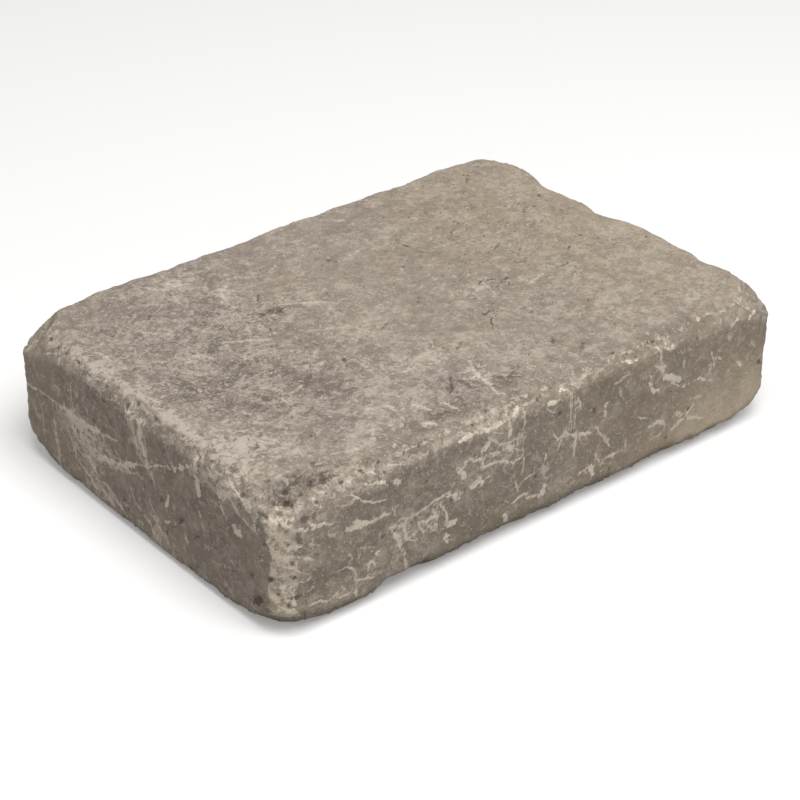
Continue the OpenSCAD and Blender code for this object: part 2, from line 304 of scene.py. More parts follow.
# Soft patches of each kind: middle, reach along u and along v, turn in degrees, and amount.
PATCHES = {"front": {
    "pale": [
        ((42, 3), 17, 3.2, -5, 0.8), ((112, 3), 28, 3.2, 0, 0.7), ((170, 1), 40, 2.0, 0, 0.4),
        ((246, 4), 8, 4, 0, 0.5), ((138, 22), 9, 6, 20, 0.65), ((72, 45), 9, 8, 20, 0.6),
        ((86, 41), 6, 3, 0, 0.6), ((103, 34), 6, 3, 30, 0.5), ((160, 44), 5, 6, 0, 0.85),
        ((250, 26), 6, 3, 30, 0.5), ((194, 57), 4, 5, -20, 0.5), ((14, 20), 9, 8, 0, 0.5),
    ],
    "cool": [((162, 44), 10, 8, 0, 1.0), ((152, 14), 18, 10, 0, 0.3)],
    "scuff": [
        ((122, 26), 30, 14, 0, 0.9), ((80, 43), 24, 12, 0, 0.9), ((42, 56), 32, 8, 0, 0.7),
        ((186, 36), 24, 12, 0, 0.8), ((172, 56), 40, 7, 0, 0.8), ((250, 26), 26, 12, 20, 0.8),
        ((254, 51), 26, 10, 0, 0.7), ((6, 42), 9, 40, 0, 0.8), ((122, 5), 70, 5, 0, 0.8),
        ((20, 40), 12, 14, 0, 0.4),
    ],
    "dark": [
        ((46, 14), 30, 5, 0, 0.5), ((24, 48), 16, 7, 0, 0.5), ((78, 22), 22, 6, 0, 0.35),
        ((126, 46), 18, 8, 0, 0.45), ((112, 13), 14, 5, 0, 0.4), ((200, 14), 16, 10, 0, 0.4),
        ((112, 59), 14, 6, 0, 0.3), ((226, 33), 14, 10, 0, 0.35), ((256, 42), 18, 5, 0, 0.3),
    ],
    "sandy": [((294, 56), 36, 19, 0, 1.5), ((259, 64), 40, 8, 0, 0.5)],
    "tan": [((240, 34), 80, 44, 0, 0.35)],
    "chalk": [((1, 38), 9, 42, 0, 1.0)],
    "rust": [((246, 68), 5, 4, 0, 0.7)],
    "smooth": [((167, 40), 170, 42, 0, 1.0)],
    "olive": [((167, 40), 220, 60, 0, 1.0)],
    "paste": [((2, 36), 14, 38, 0, 1.0), ((38, 2), 24, 6, -4, 0.7), ((112, 2), 28, 4, 0, 0.4)],
}, "left": {
    "pale": [
        ((67, 34), 19, 7, 0, 1.3), ((80, 41), 18, 6, -10, 1.1), ((97, 41), 14, 4, -14, 0.8),
        ((75, 53), 9, 5, 20, 0.7), ((44, 52), 3, 16, 0, 0.5), ((145, 20), 20, 3, -24, 0.6),
        ((167, 16), 3, 14, 0, 0.6), ((198, 27), 5, 3, 10, 0.7), ((188, 10), 20, 5, 0, 1.1),
        ((119, 16), 6, 14, -15, 1.1), ((133, 64), 8, 9, 0, 1.0), ((85, 64), 18, 6, 0, 1.0),
        ((68, 18), 10, 10, 0, 0.35),
    ],
    "scuff": [((80, 42), 34, 9, 0, 0.8), ((190, 12), 30, 9, 0, 0.7), ((100, 66), 60, 6, 0, 0.5)],
    "dark": [
        ((120, 38), 110, 38, 0, 0.3), ((96, 17), 16, 9, 0, 0.6), ((180, 28), 20, 12, 0, 0.6),
        ((190, 49), 26, 12, 0, 0.35),
    ],
    "tan": [((34, 12), 26, 18, 0, 0.5)],
    "cool": [((120, 52), 60, 20, 0, 0.3)],
    "rust": [((200, 38), 2.6, 3.6, 0, 0.55)],
    "smooth": [((110, 38), 116, 42, 0, 1.0)],
    "paste": [((228, 36), 16, 38, 0, 1.0)],
    "chalk": [((229, 38), 10, 42, 0, 1.0)],
}, "top": {
    "cool": [
        ((60, 60), 54, 46, 0, 0.9), ((40, 124), 40, 36, 0, 0.9), ((70, 184), 15, 12, 0, 1.0),
        ((131, 186), 12, 8, 0, 1.0), ((100, 150), 50, 34, 0, 0.5), ((180, 40), 60, 26, 0, 0.3),
        ((134, 207), 34, 14, 0, 0.8),
    ],
    "pale": [
        ((20, 180), 19, 22, 0, 0.8), ((7, 112), 5, 76, 0, 1.2), ((87, 30), 9, 9, 20, 0.6),
        ((100, 52), 8, 9, 30, 0.55), ((148, 196), 6, 14, 15, 0.8), ((205, 132), 20, 10, 0, 0.5),
        ((136, 172), 16, 7, 0, 0.6), ((90, 146), 6, 9, 0, 0.5), ((98, 88), 8, 8, 0, 0.6),
        ((50, 96), 6, 6, 0, 0.5), ((283, 208), 8, 5, 0, 0.5), ((85, 203), 20, 8, 0, 0.4),
    ],
    "scuff": [
        ((70, 70), 60, 50, 0, 0.6), ((80, 180), 60, 30, 0, 0.5), ((40, 110), 40, 50, 0, 0.4),
        ((130, 120), 40, 40, 0, 0.3),
    ],
    "dark": [
        ((130, 199), 16, 9, 0, 1.5), ((158, 206), 11, 10, 0, 1.5), ((112, 214), 28, 8, 0, 1.2),
        ((23, 219), 14, 9, 0, 2.0), ((5, 224), 8, 7, 0, 1.6), ((60, 224), 26, 6, 0, 0.8),
        ((240, 224), 60, 5, 0, 0.7), ((150, 224), 40, 5, 0, 0.5), ((34, 124), 24, 15, 0, 0.45),
        ((78, 146), 14, 12, 0, 0.5), ((92, 164), 18, 8, 0, 0.5), ((62, 34), 16, 10, 0, 0.45),
        ((38, 48), 14, 10, 0, 0.4), ((46, 148), 16, 12, 0, 0.35), ((104, 84), 12, 6, 0, 0.5),
        ((60, 110), 66, 96, 0, 1.25), ((264, 110), 56, 110, 0, 0.45), ((196, 204), 26, 12, 0, 0.4),
    ],
    "specks": [
        ((140, 205), 30, 14, 0, 0.8), ((30, 214), 30, 12, 0, 0.9), ((250, 90), 80, 80, 0, 0.8),
        ((100, 84), 20, 12, 0, 0.8), ((190, 170), 40, 30, 0, 0.6), ((60, 60), 60, 60, 0, 0.4),
    ],
    "tan": [
        ((270, 60), 60, 60, 0, 0.75), ((290, 130), 44, 96, 0, 0.8), ((314, 110), 8, 90, 0, 0.8),
        ((120, 60), 26, 18, 0, 0.5), ((120, 120), 30, 20, 0, 0.3),
    ],
    "smooth": [((188, 108), 54, 56, 0, 1.0)],
    "rust": [((58, 219), 1.8, 1.6, 0, 0.9)],
}}

# Pits: half width, depth, then the points each passes. A round pit has one point.
HOLLOWS = {"front": [
    (2.4, 1.5, (15, 11), (17, 11)), (1.7, 1.5, (7, 34)), (1.3, 0.8, (12, 23)), (1.5, 0.9, (10, 53)),
    (1.3, 1.0, (5, 24)), (1.1, 0.8, (8, 43)), (1.4, 1.0, (4, 58)), (1.0, 0.8, (9, 29)),
    (1.2, 0.9, (3, 16)), (1.2, 0.7, (60, 40)), (1.3, 0.8, (314, 40)), (1.1, 0.6, (194, 23)),
    (0.9, 0.6, (141, 15)), (1.1, 0.7, (12, 63)), (1.2, 0.7, (21, 12)), (1.1, 0.5, (156, 46)),
    (1.0, 0.5, (247, 33)),
], "left": [
    (2.4, 1.6, (209, 62), (213, 58)), (1.2, 0.8, (151, 47), (153, 45)), (1.1, 0.7, (163, 49), (166, 48)),
    (1.1, 0.6, (137, 42)), (1.4, 0.9, (215, 10), (219, 9)), (1.6, 1.0, (221, 44)), (1.3, 0.8, (159, 71)),
    (1.0, 0.6, (106, 63)), (1.1, 0.6, (90, 9)), (1.3, 0.8, (226, 51)), (1.2, 0.8, (218, 25)),
    (1.0, 0.5, (180, 47)), (0.9, 0.5, (128, 36)),
], "top": [
    (1.0, 0.7, (111, 87)), (1.0, 0.8, (103, 91)), (1.1, 0.7, (164, 58)), (1.1, 0.7, (79, 166)),
    (1.2, 0.7, (24, 182)), (1.1, 0.7, (197, 195)), (1.6, 1.0, (15, 217)), (1.2, 0.8, (128, 224)),
    (1.2, 0.7, (285, 31)), (2.0, 1.2, (5, 188)), (1.5, 1.0, (21, 209)), (1.2, 0.9, (30, 216)),
    (1.3, 0.9, (36, 209)), (1.5, 1.0, (12, 206)), (1.2, 0.8, (27, 222)), (1.1, 0.7, (43, 217)),
    (1.4, 0.9, (18, 224)), (2.0, 1.3, (20, 215)), (1.8, 1.2, (26, 220)), (1.9, 1.2, (32, 222)),
    (1.7, 1.1, (12, 218)), (2.0, 1.3, (7, 225)), (1.5, 1.0, (23, 211)), (1.3, 0.8, (154, 204)),
    (1.1, 0.7, (3, 62)), (1.4, 0.9, (3, 112)), (1.6, 0.9, (2, 128)), (1.2, 0.7, (4, 150)),
    (1.1, 0.6, (90, 225)), (1.2, 0.7, (212, 222)),
]}

# Short cracks: half width, strength, then the points each passes.
CRACKS = {"top": [
    (0.9, 1.0, (105, 75), (108, 71), (111, 66)), (0.9, 1.0, (91, 83), (93, 87), (91, 91)),
    (0.7, 0.9, (96, 97), (94, 101)), (0.9, 1.0, (102, 83), (106, 85), (110, 86)),
    (0.8, 0.9, (107, 81), (112, 84)), (0.7, 0.9, (97, 79), (101, 81)), (0.7, 0.8, (62, 93), (64, 97)),
    (0.6, 0.7, (54, 51), (57, 48)), (0.7, 0.8, (43, 127), (47, 130)), (0.7, 0.7, (50, 76), (52, 79)),
    (0.8, 0.9, (78, 163), (84, 165)), (0.8, 0.9, (90, 168), (97, 171)),
    (0.7, 0.8, (103, 149), (106, 143)), (0.8, 0.9, (205, 67), (206, 72)),
    (0.8, 0.8, (206, 81), (209, 84)), (0.8, 0.8, (163, 57), (165, 61)),
    (0.7, 0.9, (208, 128), (212, 126), (216, 128)), (0.8, 0.9, (218, 133), (223, 131)),
    (0.8, 0.8, (182, 167), (189, 158)), (0.7, 0.8, (186, 154), (192, 152)),
    (0.7, 0.8, (268, 193), (274, 192), (280, 192)), (0.8, 0.7, (262, 60), (266, 53)),
    (0.8, 0.8, (282, 33), (288, 26)), (0.8, 0.8, (291, 24), (294, 29)), (0.7, 0.7, (280, 82), (285, 76)),
    (0.7, 0.7, (272, 42), (276, 38)), (0.7, 0.7, (233, 76), (238, 72)),
    (0.7, 0.7, (240, 104), (245, 101)), (0.8, 0.7, (269, 130), (273, 127)),
    (0.7, 0.7, (252, 140), (258, 139)), (0.8, 0.8, (126, 200), (132, 195), (135, 190)),
    (0.8, 0.8, (196, 197), (199, 193)), (0.7, 0.7, (202, 210), (207, 206)),
    (0.7, 0.8, (22, 183), (26, 180)), (0.8, 0.7, (65, 184), (69, 186)),
    (0.7, 0.7, (140, 132), (144, 130)), (0.8, 0.8, (154, 172), (160, 168)),
], "front": [
    (0.5, 0.8, (312, 40), (317, 42)), (0.4, 0.7, (193, 22), (195, 25)), (0.4, 0.6, (207, 42), (213, 44)),
    (0.4, 0.6, (13, 60), (14, 68)),
], "left": [
    (0.5, 0.9, (150, 48), (154, 44)), (0.5, 0.8, (163, 50), (167, 47)), (0.4, 0.7, (135, 44), (137, 41)),
    (0.4, 0.6, (170, 60), (174, 59)), (0.4, 0.6, (184, 33), (187, 31)),
]}


# --- Seeded marks on the faces that don't show ---
PLAIN_FACES = ("right", "back", "bottom")
AREA_UNIT = 10000       # the numbers of marks below are for this many square millimetres
STROKE_COUNT = 14
HOLLOW_COUNT = 7
CRACK_COUNT = 8
# Kind of patch, number, least and greatest reach, and amount.
PATCH_MIX = (
    ("pale", 6, 4, 12, 0.6), ("scuff", 3, 14, 40, 0.7), ("dark", 3, 10, 26, 0.5),
    ("cool", 2, 16, 44, 0.6), ("tan", 2, 16, 50, 0.6), ("paste", 1, 14, 36, 0.6))


def face_size(face):
    """How far a face reaches along u and along v."""
    _, right, down = (np.abs(np.array(part)) for part in FACES[face])
    return np.array([right @ SIZE, down @ SIZE])


def random_spot(face, margin):
    """A random place on a face, that far inside its edges along u and along v."""
    return RNG.uniform(margin, face_size(face) - margin)


def random_stroke(face):
    """A scuff of one to three runs that turns a little between them."""
    point = random_spot(face, (8, 6))
    heading = RNG.uniform(0, 2 * math.pi)
    points = [tuple(point)]
    for _ in range(RNG.integers(1, 4)):
        heading += RNG.normal(0, 0.5)
        run = RNG.uniform(3, 9)
        point = point + run * np.array([math.cos(heading), math.sin(heading)])
        points.append(tuple(point))
    return (RNG.uniform(0.5, 1.2), RNG.uniform(0.4, 0.9), *points)


def random_patch(face, smallest, largest, amount):
    middle = tuple(random_spot(face, (0, 0)))
    reach = RNG.uniform(smallest, largest)
    narrower = reach * RNG.uniform(0.3, 0.8)
    return (middle, reach, narrower, RNG.uniform(-40, 40), amount * RNG.uniform(0.6, 1.1))


def random_hollow(face):
    middle = tuple(random_spot(face, (4, 4)))
    return (RNG.uniform(0.9, 1.6), RNG.uniform(0.5, 1.0), middle)


def random_crack(face):
    middle = random_spot(face, (6, 6))
    reach = RNG.normal(0, 2.4, 2)
    ends = (tuple(middle - reach), tuple(middle + reach))
    return (RNG.uniform(0.4, 0.6), RNG.uniform(0.6, 1.0), *ends)


def invent_marks(face):
    """Seeded marks of the same kinds for a face that has no marks of its own in the tables."""
    area = np.prod(face_size(face)) / AREA_UNIT
    STROKES[face] = [random_stroke(face) for _ in range(int(STROKE_COUNT * area))]
    PATCHES[face] = {
        kind: [random_patch(face, smallest, largest, amount)
               for _ in range(int(number * area) + 1)]
        for kind, number, smallest, largest, amount in PATCH_MIX}
    HOLLOWS[face] = [random_hollow(face) for _ in range(int(HOLLOW_COUNT * area))]
    CRACKS[face] = [random_crack(face) for _ in range(int(CRACK_COUNT * area))]


for plain_face in PLAIN_FACES:
    invent_marks(plain_face)


# --- From marks to values at the points ---
OUT_OF_REACH = 7.0      # a mark has no effect further off than this
WIDE = 1.1              # marks of at least this half width are drawn from their plain distance
THINNING = 0.3          # a mark is narrower by this share at its ends
SLACK = (1.8, 0.6)      # a narrow mark's strength fades in between these distances from it
WOBBLE = 1.8            # how far the outlines of marks wander
PATCH_DEPTH = 10        # how far round an edge a patch shows


def on_face(face, u, v):
    """The point that lies at u and v on a face."""
    corner, right, down = (np.array(part, float) for part in FACES[face])
    return low + corner * SIZE + right * u + down * v


def distance_to_line(points, line, facing=(0, 0, 1)):
    """For each point: its distance to a line through several points, the share of the way along
    the line where the nearest one is, and how far off to the side of the line's run it lies."""
    best = np.full(len(points), np.inf)
    share = np.zeros(len(points))
    side = np.zeros(len(points))
    steps = max(len(line) - 1, 1)
    for i in range(steps):
        start = line[i]
        run = line[min(i + 1, len(line) - 1)] - start
        length = max(np.linalg.norm(run), 1e-6)
        along = np.clip((points - start) @ run / length ** 2, 0, 1)
        distance = np.linalg.norm(points - start - along[:, None] * run, axis=1)
        closer = distance < best
        best[closer] = distance[closer]
        share[closer] = (i + along[closer]) / steps
        side[closer] = ((points - start) @ np.cross(facing, run / length))[closer]
    return best, share, side


def tapered(half_width, share, line):
    """The half width of a mark at a share of the way along its line."""
    return half_width * (1 - THINNING * (2 * share - 1) ** 2 * (len(line) > 1))


def wobbled(points):
    """The points moved about a little, so that marks laid on them come out ragged."""
    shift = [fractal(points, 8, 300 + 10 * axis, 3, 0.6) for axis in range(3)]
    return points + WOBBLE * np.stack(shift, 1)


def near_line(points, line, reach):
    """The numbers of the points that lie in the line's box, or within reach of it."""
    return np.flatnonzero(np.all((points > line.min(0) - reach)
                                 & (points < line.max(0) + reach), axis=1))


def lines_of(tables):
    """Each mark's face, half width, strength or depth, and the points that its line passes."""
    for face, marks in tables.items():
        for half_width, amount, *line in marks:
            yield face, half_width, amount, np.array([on_face(face, u, v) for u, v in line])


def fine_fields(points, tables):
    """How far across the nearest narrow mark a point lies, from -1 to 1 within it, and how strong
    that mark is there. The mesh is coarser than such a mark is wide, but both change evenly
    enough over it to draw one."""
    across = np.full(len(points), OUT_OF_REACH)
    strength = np.zeros(len(points))
    gap = np.full(len(points), np.inf)
    for face, half_width, amount, line in lines_of(tables):
        if half_width >= WIDE:
            continue
        facing = np.cross(FACES[face][1], FACES[face][2])
        near = near_line(points, line, OUT_OF_REACH)
        distance, share, side = distance_to_line(points[near], line, facing)
        width = tapered(half_width, share, line)
        closer = distance - width < gap[near]
        chosen = near[closer]
        gap[chosen] = (distance - width)[closer]
        across[chosen] = (side / width)[closer]
        strength[chosen] = amount * smoothstep(gap[chosen], *SLACK)
    return across, strength


def wide_field(points, tables, narrowest=WIDE):
    """How far inside the nearest wide mark a point lies, in mm: negative outside every one."""
    field = np.full(len(points), -OUT_OF_REACH)
    for _, half_width, _, line in lines_of(tables):
        if half_width < narrowest:
            continue
        near = near_line(points, line, OUT_OF_REACH)
        distance, share, _ = distance_to_line(points[near], line)
        field[near] = np.maximum(field[near], tapered(half_width, share, line) - distance)
    return field


def patch_field(points, kind):
    """How much of a kind of patch there is at each point."""
    field = np.zeros(len(points))
    moved = wobbled(points)
    for face, patches in PATCHES.items():
        _, right, down = (np.array(part, float) for part in FACES[face])
        for (u, v), reach_u, reach_v, turn, amount in patches.get(kind, ()):
            offset = moved - on_face(face, u, v)
            across = offset @ right
            along = offset @ down
            deep = np.linalg.norm(offset - np.outer(across, right) - np.outer(along, down), axis=1)
            cosine, sine = math.cos(math.radians(turn)), math.sin(math.radians(turn))
            a = (across * cosine + along * sine) / reach_u
            b = (along * cosine - across * sine) / reach_v
            field += amount * np.exp(-(a * a + b * b) - (deep / PATCH_DEPTH) ** 2)
    return field


# --- Relief ---
CHIP_COUNT = 320
CHIP_REACH = 4.5        # how far from its middle a chip takes anything off
CHIP_LIMIT = 0.7        # the chips together take off no more than this
PIT_COUNT = 190
HOLLOW_REACH = 5        # how far from its line a hollow has an effect
SINK_LIMITS = (0.02, 1.9)   # least and greatest relief, before the seeded pits are added


def chip_edges(points, quads, edges):
    """Small flat chips knocked off the worn edges."""
    normals = normals_of(points, quads)
    roundness = 1 - np.abs(normals).max(1)
    worn = np.flatnonzero(roundness > 0.12)
    chipped = points.copy()
    for i in RNG.choice(worn, CHIP_COUNT, replace=False):
        depth = RNG.uniform(0.15, 0.5)
        facing = normals[i] + RNG.normal(0, 0.25, 3)
        facing /= np.linalg.norm(facing)
        near = np.flatnonzero(np.linalg.norm(points - points[i], axis=1) < CHIP_REACH)
        above = np.clip((chipped[near] - points[i]) @ facing + depth, 0, CHIP_LIMIT)
        chipped[near] -= above[:, None] * facing
    moved = chipped - points
    length = np.linalg.norm(moved, axis=1, keepdims=True)
    moved *= np.minimum(1, CHIP_LIMIT / np.maximum(length, 1e-9))
    return smoothed(points + moved, edges, 1, 0.25)


def relief(points, sharp, normals, worn):
    """How far each point sinks along its normal."""
    # All over: a slow swell, and a fine roughness on it.
    depth = 0.16 + 0.16 * fractal(points, 60, 1, 2)
    depth += 0.10 + 0.12 * fractal(points, 9, 11, 4, 0.6)
    # The worn edges: crumbs, grit between them, and a coarser crumble along the foot.
    crumbs = np.abs(fractal(points, 6.5, 21, 3, 0.6))
    grit = np.abs(fractal(points, 3.4, 25, 2, 0.7))
    depth += worn * (0.04 + 0.55 * crumbs + 0.95 * grit + 0.15 * fractal(points, 14, 31, 2))
    foot = worn * smoothstep(points[:, 2] - low[2], 11, 5)
    depth += foot * 2.8 * np.abs(fractal(points, 3.4, 28, 2, 0.7))
    # The hollows, each with an uneven rim.
    for _, half_width, deepest, line in lines_of(HOLLOWS):
        near = near_line(sharp, line, HOLLOW_REACH)
        distance = distance_to_line(sharp[near], line)[0]
        rim = half_width * (1 + 0.35 * fractal(sharp[near], 2.5, 41, 2))
        depth[near] += deepest * smoothstep(1.5 - distance / rim, 0, 1)
    return np.clip(depth, *SINK_LIMITS)


def seeded_pits(points, worn):
    """Small pits all over, closer together on the worn edges: their depth, and how far inside."""
    sink = np.zeros(len(points))
    inside = np.full(len(points), -OUT_OF_REACH)
    chance = 0.25 + worn
    for i in RNG.choice(len(points), PIT_COUNT, replace=False, p=chance / chance.sum()):
        radius = RNG.uniform(1.0, 1.9)
        near = np.flatnonzero(np.abs(points - points[i]).max(1) < radius + 2)
        distance = np.linalg.norm(points[near] - points[i], axis=1)
        bowl = np.clip(1 - (distance / radius) ** 2, 0, 1)
        sink[near] = np.maximum(sink[near], RNG.uniform(0.2, 0.75) * bowl)
        inside[near] = np.maximum(inside[near], 0.55 * radius - distance)
    return sink, inside


# --- The block ---
# The kinds of patch that the concrete reads. Another kind, paste, goes into the worn edges.
PATCH_KINDS = ("pale", "scuff", "dark", "cool", "tan", "sandy", "chalk", "olive", "rust", "smooth",
               "specks")

sharp, quads = box_grid()
edges = edges_of(quads)
surface = smoothed(laid_on_cad(sharp), edges, 3)
surface = chip_edges(surface, quads, edges)
normals = normals_of(surface, quads)
roundness = smoothed(1 - np.abs(normals).max(1), edges, 5)
ragged = fractal(surface, 11, 51, 3)
worn = smoothstep(roundness + 0.05 * ragged, 0.04, 0.17)
pit_depth, pit_field = seeded_pits(surface, worn)
depth = relief(surface, sharp, normals, worn) + pit_depth
relieved = np.clip(surface - depth[:, None] * normals, low, high)

# The pale paste shows on the worn edges that face up and, where a patch says so, on the others.
facing_up = smoothstep(smoothed(normals[:, 2], edges, 2), 0.66, 0.86)
rubbed = smoothstep(roundness + 0.06 * ragged, 0.02, 0.12)
paste_shown = rubbed * np.clip(0.9 * facing_up + 1.3 * patch_field(sharp, "paste"), 0.08, 1.15)

moved = wobbled(sharp)
scuff_across, scuff_strength = fine_fields(moved, STROKES)
crack_across, crack_strength = fine_fields(moved, CRACKS)
attributes = {
    "worn": paste_shown,
    "upward": facing_up,
    "scuff_across": scuff_across,
    "scuff_strength": scuff_strength,
    "smears": wide_field(moved, STROKES),
    "crack_across": crack_across,
    "crack_strength": crack_strength,
    "hollows": np.maximum(wide_field(sharp, HOLLOWS, 0), pit_field),
}
for kind in PATCH_KINDS:
    attributes["patch_" + kind] = patch_field(sharp, kind)

mesh = bpy.data.meshes.new("concrete_block")
mesh.from_pydata((relieved * MM).tolist(), [], quads.tolist())
mesh.polygons.foreach_set("use_smooth", np.ones(len(quads), bool))
for name, values in attributes.items():
    mesh.attributes.new(name, "FLOAT", "POINT").data.foreach_set("value", values.astype(np.float32))
mesh.update()
block = bpy.data.objects.new("concrete_block", mesh)
bpy.context.scene.collection.objects.link(block)


# --- Concrete ---
class Graph:
    """Short spellings for the nodes of one material or world."""

    def __init__(self, owner):
        owner.use_nodes = True
        self.tree = owner.node_tree
        self.tree.nodes.clear()

    def add(self, kind, sockets=None, **settings):
        node = self.tree.nodes.new("ShaderNode" + kind)
        for name, value in settings.items():
            setattr(node, name, value)
        for name, value in (sockets or {}).items():
            if isinstance(value, bpy.types.NodeSocket):
                self.tree.links.new(value, node.inputs[name])
            else:
                node.inputs[name].default_value = value
        return node

    def math(self, operation, first, second=0.0, third=0.0, clamp=False):
        sockets = {0: first, 1: second, 2: third}
        return self.add("Math", sockets, operation=operation, use_clamp=clamp).outputs[0]

    def times(self, first, second, clamp=False):
        return self.math("MULTIPLY", first, second, clamp=clamp)

    def times_plus(self, value, factor, extra, clamp=False):
        """The value times the factor, plus something extra."""
        return self.math("MULTIPLY_ADD", value, factor, extra, clamp=clamp)

    def stirred(self, value, noise, amount):
        """The value plus some of a noise, which is centred on 0 first."""
        return self.times_plus(self.math("SUBTRACT", noise, 0.5), amount, value)

    def inside(self, across):
        """1 on a mark's middle line and 0 on its rim."""
        return self.math("SUBTRACT", 1.0, self.math("ABSOLUTE", across))

    def vector(self, operation, first, second, third=(0.0, 0.0, 0.0)):
        sockets = {0: first, 1: second, 2: third}
        return self.add("VectorMath", sockets, operation=operation).outputs[0]

    def scaled(self, vector, factor):
        return self.add("VectorMath", {0: vector, "Scale": factor}, operation="SCALE").outputs[0]

    def noise(self, place, size, detail, roughness=0.5, output="Fac"):
        return self.add("TexNoise", {
            "Vector": place, "Scale": 1 / size, "Detail": detail,
            "Roughness": roughness}).outputs[output]

    def stretched(self, place, turn, scale):
        sockets = {"Vector": place, "Rotation": turn, "Scale": scale}
        return self.add("Mapping", sockets, vector_type="TEXTURE").outputs[0]

    def cells(self, place, size):
        """The distance to the nearest of scattered points, and a random colour for each."""
        node = self.add("TexVoronoi", {"Vector": place, "Scale": 1 / size})
        return node.outputs["Distance"], self.add("SeparateColor", {0: node.outputs["Color"]}).outputs

    def step(self, value, start, end):
        sockets = {"Value": value, "From Min": start, "From Max": end}
        return self.add("MapRange", sockets, interpolation_type="SMOOTHSTEP").outputs["Result"]

    def mix(self, share, first, second):
        sockets = {0: share, 6: first, 7: second}
        return self.add("Mix", sockets, data_type="RGBA", clamp_factor=True).outputs[2]

    def attribute(self, name):
        return self.add("Attribute", attribute_name=name).outputs["Fac"]

    def seen_directly(self):
        """1 for a ray from the camera, also by way of glass or a shiny surface, and else 0."""
        path = self.add("LightPath").outputs
        seen = self.math("MAXIMUM", path["Is Camera Ray"], path["Is Glossy Ray"])
        return self.math("MAXIMUM", seen, path["Is Transmission Ray"])


def colour(red, green, blue):
    return (red, green, blue, 1.0)


SKIN_DARK = colour(0.270, 0.223, 0.181)
SKIN_LIGHT = colour(0.466, 0.390, 0.312)
SKIN_COOL = colour(0.264, 0.221, 0.203)
SKIN_OLIVE = colour(0.235, 0.198, 0.138)
SKIN_TAN = colour(0.500, 0.405, 0.290)
SKIN_SANDY = colour(0.600, 0.495, 0.355)
SKIN_DIRTY = colour(0.174, 0.141, 0.114)
DUST = colour(0.606, 0.529, 0.446)
SCUFF = colour(0.850, 0.750, 0.610)
PASTE_DARK = colour(0.400, 0.345, 0.275)
PASTE_LIGHT = colour(0.660, 0.585, 0.480)
CHALK = colour(0.900, 0.785, 0.630)
# Near black for pits, pores, dents and cracks: painted shade in these hollows, with some dirt.
PIT_SHADE_AND_DIRT = colour(0.080, 0.064, 0.049)
RUST = colour(0.420, 0.230, 0.120)
RED_SAND = colour(0.300, 0.120, 0.075)

WARP_SIZE = 6           # size of the noise that bends the other noises out of shape
WARP_REACH = 5.0        # how far it bends them over its whole range
# Patches that tint the skin: kind, share of the new colour at full amount, and that colour.
TINTS = (
    ("olive", 0.52, SKIN_OLIVE), ("cool", 0.6, SKIN_COOL), ("tan", 0.6, SKIN_TAN),
    ("sandy", 0.8, SKIN_SANDY))
# Thin wandering scuffs: size of their noise, half width within it, and share of dust.
RIDGES = ((7.0, 0.08, 0.42), (4.0, 0.10, 0.22))
# Turn in radians, length and width in millimetres, and an offset that sets where they show.
SCRATCHES = (
    ((0.0, 0.0, 0.55), 7.0, 1.3, 11.0),
    ((0.3, 0.0, -0.75), 6.0, 1.2, 47.0),
    ((0.0, 0.4, 1.50), 8.0, 1.4, 83.0),
    ((0.2, 0.0, -0.10), 6.5, 1.1, 29.0),
    ((0.0, 0.9, 0.20), 7.0, 1.3, 131.0),
    ((0.6, 1.2, -0.30), 8.0, 1.2, 173.0),
)
DASH_TURN = (0.3, 0.2, 0.5)
DASH_SIZE = (3.4, 1.1, 1.1)


class Concrete(Graph):
    """The concrete's graph, with the noises and attributes that several of its layers use."""

    def __init__(self, material):
        super().__init__(material)
        self.place = self.scaled(self.add("TexCoord").outputs["Object"], 1 / MM)
        bend = self.noise(self.place, WARP_SIZE, 4.0, output="Color")
        bend = self.vector("SUBTRACT", bend, (0.5,) * 3)
        self.warped = self.vector("MULTIPLY_ADD", bend, (WARP_REACH,) * 3, self.place)

        self.patch = {kind: self.attribute("patch_" + kind) for kind in PATCH_KINDS}
        self.even = self.patch["smooth"]
        self.dark = self.patch["dark"]
        self.worn = self.attribute("worn")
        self.upward = self.attribute("upward")
        self.strength = self.attribute("scuff_strength")

        self.mottle = self.noise(self.warped, 7, 7.0, 0.70)
        self.fluff = self.noise(self.warped, 3.8, 6.0, 0.72)
        self.speckle = self.noise(self.place, 1.7, 4.0, 0.75)
        self.grain = self.noise(self.place, 0.8, 2.0, 0.7)
        self.torn = self.math("SUBTRACT", self.noise(self.place, 3.4, 4.0, 0.7), 0.5)
        self.where = self.noise(self.place, 24, 2.0)
        self.cloudy = self.stirred(self.mottle, self.noise(self.place, 44, 3.0, 0.55), 0.12)

        # How much dust and scuffing a place has: more inside the patches and beside the scuffs.
        dense = self.times_plus(self.patch["scuff"], 0.30, self.where)
        dense = self.times_plus(self.step(self.strength, 0.0, 0.8), 0.12, dense)
        self.dense = self.times_plus(self.even, -0.14, dense)


# The layers of colour. After the first, each takes the colour so far and returns it with one more
# layer on it. Some return where that layer lies too. Their shares and limits are tuned.
def cement(g):
    """The cement skin: warm grey, clouded at every size, and tinted in patches."""
    skin = g.mix(g.step(g.cloudy, 0.26, 0.74), SKIN_DARK, SKIN_LIGHT)
    for kind, share, tint in TINTS:
        skin = g.mix(g.times(g.patch[kind], share, clamp=True), skin, tint)
    patchy = g.noise(g.warped, 19, 4.0, 0.62)
    return g.mix(g.times(g.step(patchy, 0.55, 0.42), 0.30), skin, SKIN_COOL)


